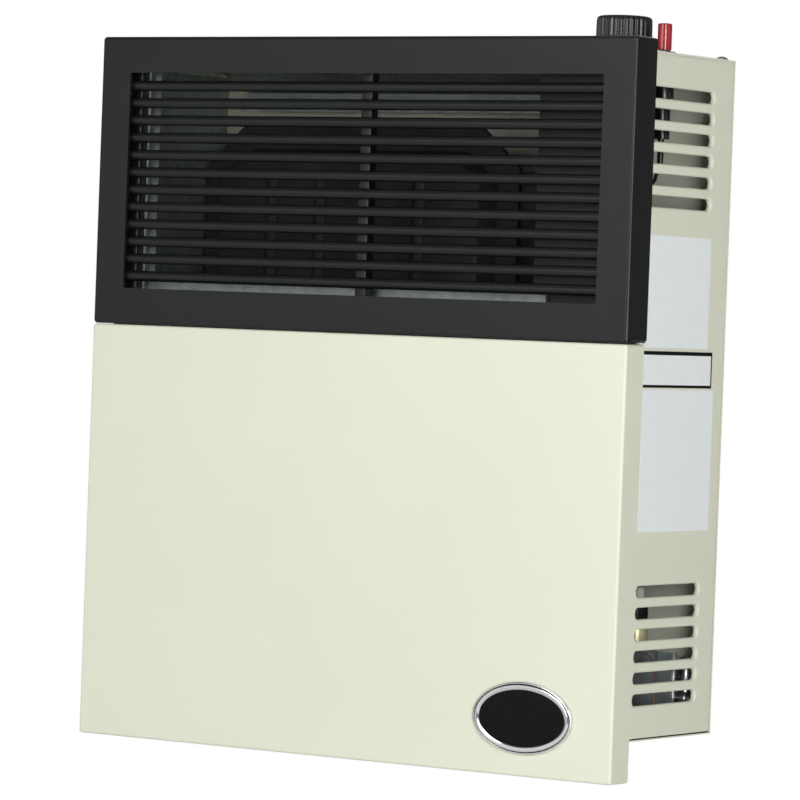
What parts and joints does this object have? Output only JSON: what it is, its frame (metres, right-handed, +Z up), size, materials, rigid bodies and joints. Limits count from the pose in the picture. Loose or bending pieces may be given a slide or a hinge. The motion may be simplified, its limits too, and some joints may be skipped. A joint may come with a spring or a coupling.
{
  "type": "wall gas heater",
  "caption": "Wall-hung direct-vent gas heater: cream lift-off cover, black louvred outlet, slotted sides, top knob and push igniter, firebox and vent behind.",
  "frame": {"origin": "on the wall face of the back panel, at the middle of the cabinet's width and height", "axes": "+Y into the wall, -Y to the front, +X to the right as seen from the front, +Z up"},
  "size_m": [0.47, 0.1849, 0.5463],
  "materials": {
    "cream_paint": "satin baked enamel",
    "black_paint": "satin black baked enamel",
    "heat_black": "matt heat-proof black",
    "galvanised": "galvanised sheet, dull",
    "steel": "plated steel",
    "aluminium": "die-cast or drawn, satin",
    "brass": "turned",
    "copper": "drawn copper",
    "chrome": "bright",
    "black_plastic": "moulded, satin",
    "red_plastic": "moulded, glossy",
    "gasket_fibre": "ceramic-fibre sheet",
    "ceramic": "white, satin",
    "sight_glass": "clear",
    "label_film": "blank white film",
    "wire_cover": "silicone sleeve"
  },
  "bodies": {
    "cabinet": {"side_panel_right": "cream_paint", "side_panel_left": "cream_paint", "top_panel": "cream_paint", "bottom_panel": "cream_paint", "back_panel": "cream_paint", "control_shield": "black_paint", "firebox_front": "heat_black", "firebox_rear": "heat_black", "burner_plate": "heat_black", "control_partition": "galvanised", "liner_left": "galvanised", "lower_deflector": "galvanised", "top_baffle": "galvanised", "air_collar": "galvanised", "air_duct": "galvanised", "valve_bracket": "galvanised", "top_screw_right": "steel", "top_screw_left": "steel", "flue_pipe": "steel", "sight_ring": "steel", "burner_tube": "steel", "burner_bracket": "steel", "pilot_bracket": "steel", "gas_inlet": "steel", "knob_spring": "steel", "gas_valve": "aluminium", "burner_supply_tube": "aluminium", "pilot_tube": "aluminium", "burner_orifice": "brass", "pilot_burner": "brass", "pilot_fitting": "brass", "thermocouple_nut": "brass", "thermocouple": "copper", "thermocouple_lead": "copper", "limit_switch": "black_plastic", "piezo_igniter": "black_plastic", "igniter_nut": "black_plastic", "rod_bushing": "black_plastic", "firebox_gasket": "gasket_fibre", "spark_electrode": "ceramic", "sight_glass": "sight_glass", "label_upper": "label_film", "label_middle": "label_film", "label_lower": "label_film", "ignition_wire": "wire_cover"},
    "front_cover": {"louver_frame": "black_paint", "rod_grille": "black_paint", "front_panel": "cream_paint", "badge_bezel": "chrome", "badge_face": "black_plastic", "cover_hook_left": "galvanised", "cover_hook_right": "galvanised", "seam_screw_left": "steel", "seam_screw_right": "steel"},
    "knob_cup": {"spring_cup": "steel"},
    "knob": {"control_knob": "black_plastic", "control_rod": "steel"},
    "button": {"igniter_button": "red_plastic", "button_plunger": "black_plastic"}
  },
  "joints": [
    {"name": "cover_lift", "type": "slide", "parent": "cabinet", "child": "front_cover", "axis": [0, 0, 1], "range_m": [0, 0.015]},
    {"name": "control_push", "type": "slide", "parent": "cabinet", "child": "knob_cup", "axis": [0, 0, -1], "range_m": [0, 0.005], "stiffness_N_per_m": 1500, "springref_m": -0.004, "deforming": ["knob_spring"]},
    {"name": "control_turn", "type": "hinge", "parent": "knob_cup", "child": "knob", "pos_m": [0.1727, -0.058, 0.26], "axis": [0, 0, 1], "range_deg": [0, 270]},
    {"name": "button_press", "type": "slide", "parent": "cabinet", "child": "button", "axis": [0, 0, -1], "range_m": [0, 0.006], "stiffness_N_per_m": 600, "springref_m": -0.003}
  ]
}
